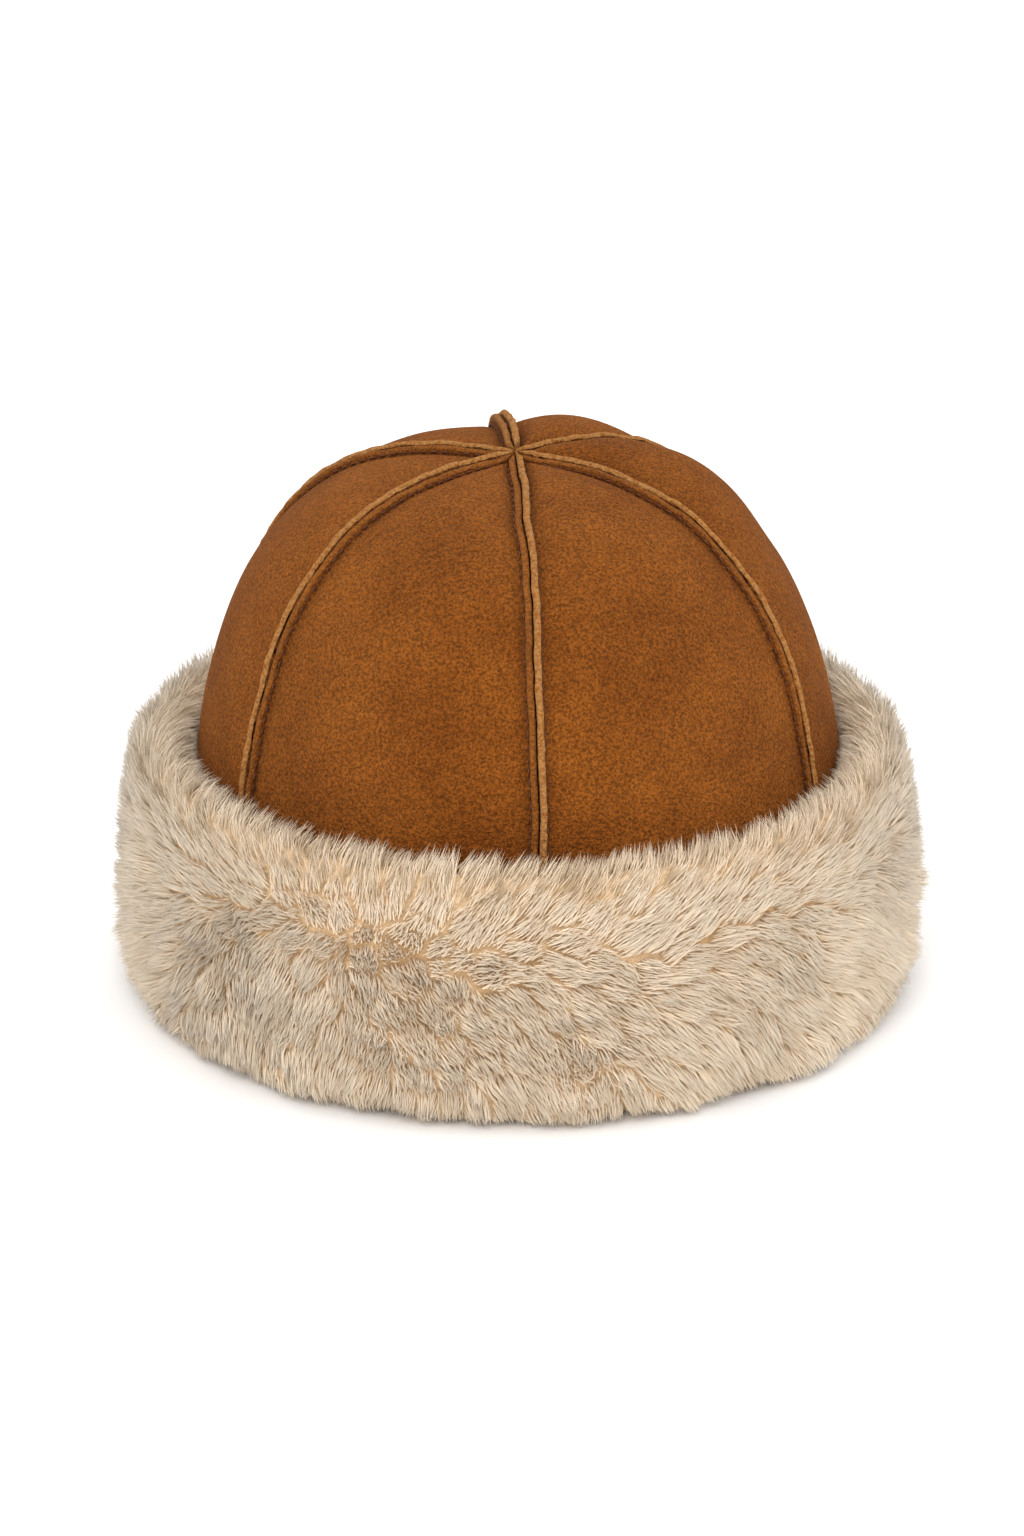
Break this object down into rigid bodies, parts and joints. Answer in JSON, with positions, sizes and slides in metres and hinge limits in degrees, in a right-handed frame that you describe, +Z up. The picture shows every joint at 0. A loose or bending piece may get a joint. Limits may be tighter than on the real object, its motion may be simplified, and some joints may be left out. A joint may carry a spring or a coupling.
{
  "type": "shearling hat",
  "caption": "Domed suede hat sewn from gores with raised seams, with a deep turned-up fleece cuff all round.",
  "frame": {"origin": "centre of the hat's footprint, on the surface that it rests on", "axes": "+Z up, -Y towards the front seam, +X to the right as seen from the front"},
  "size_m": [0.2458, 0.2529, 0.1665],
  "materials": {
    "suede": "matt short nap, brown, with pale cut edges along the seams",
    "fleece": "deep soft cream pile with tan roots"
  },
  "bodies": {
    "root": {"gore_front_right": "suede", "gore_right": "suede", "gore_back_right": "suede", "gore_back_left": "suede", "gore_left": "suede", "gore_front_left": "suede", "fleece_cuff": "fleece"}
  },
  "joints": []
}
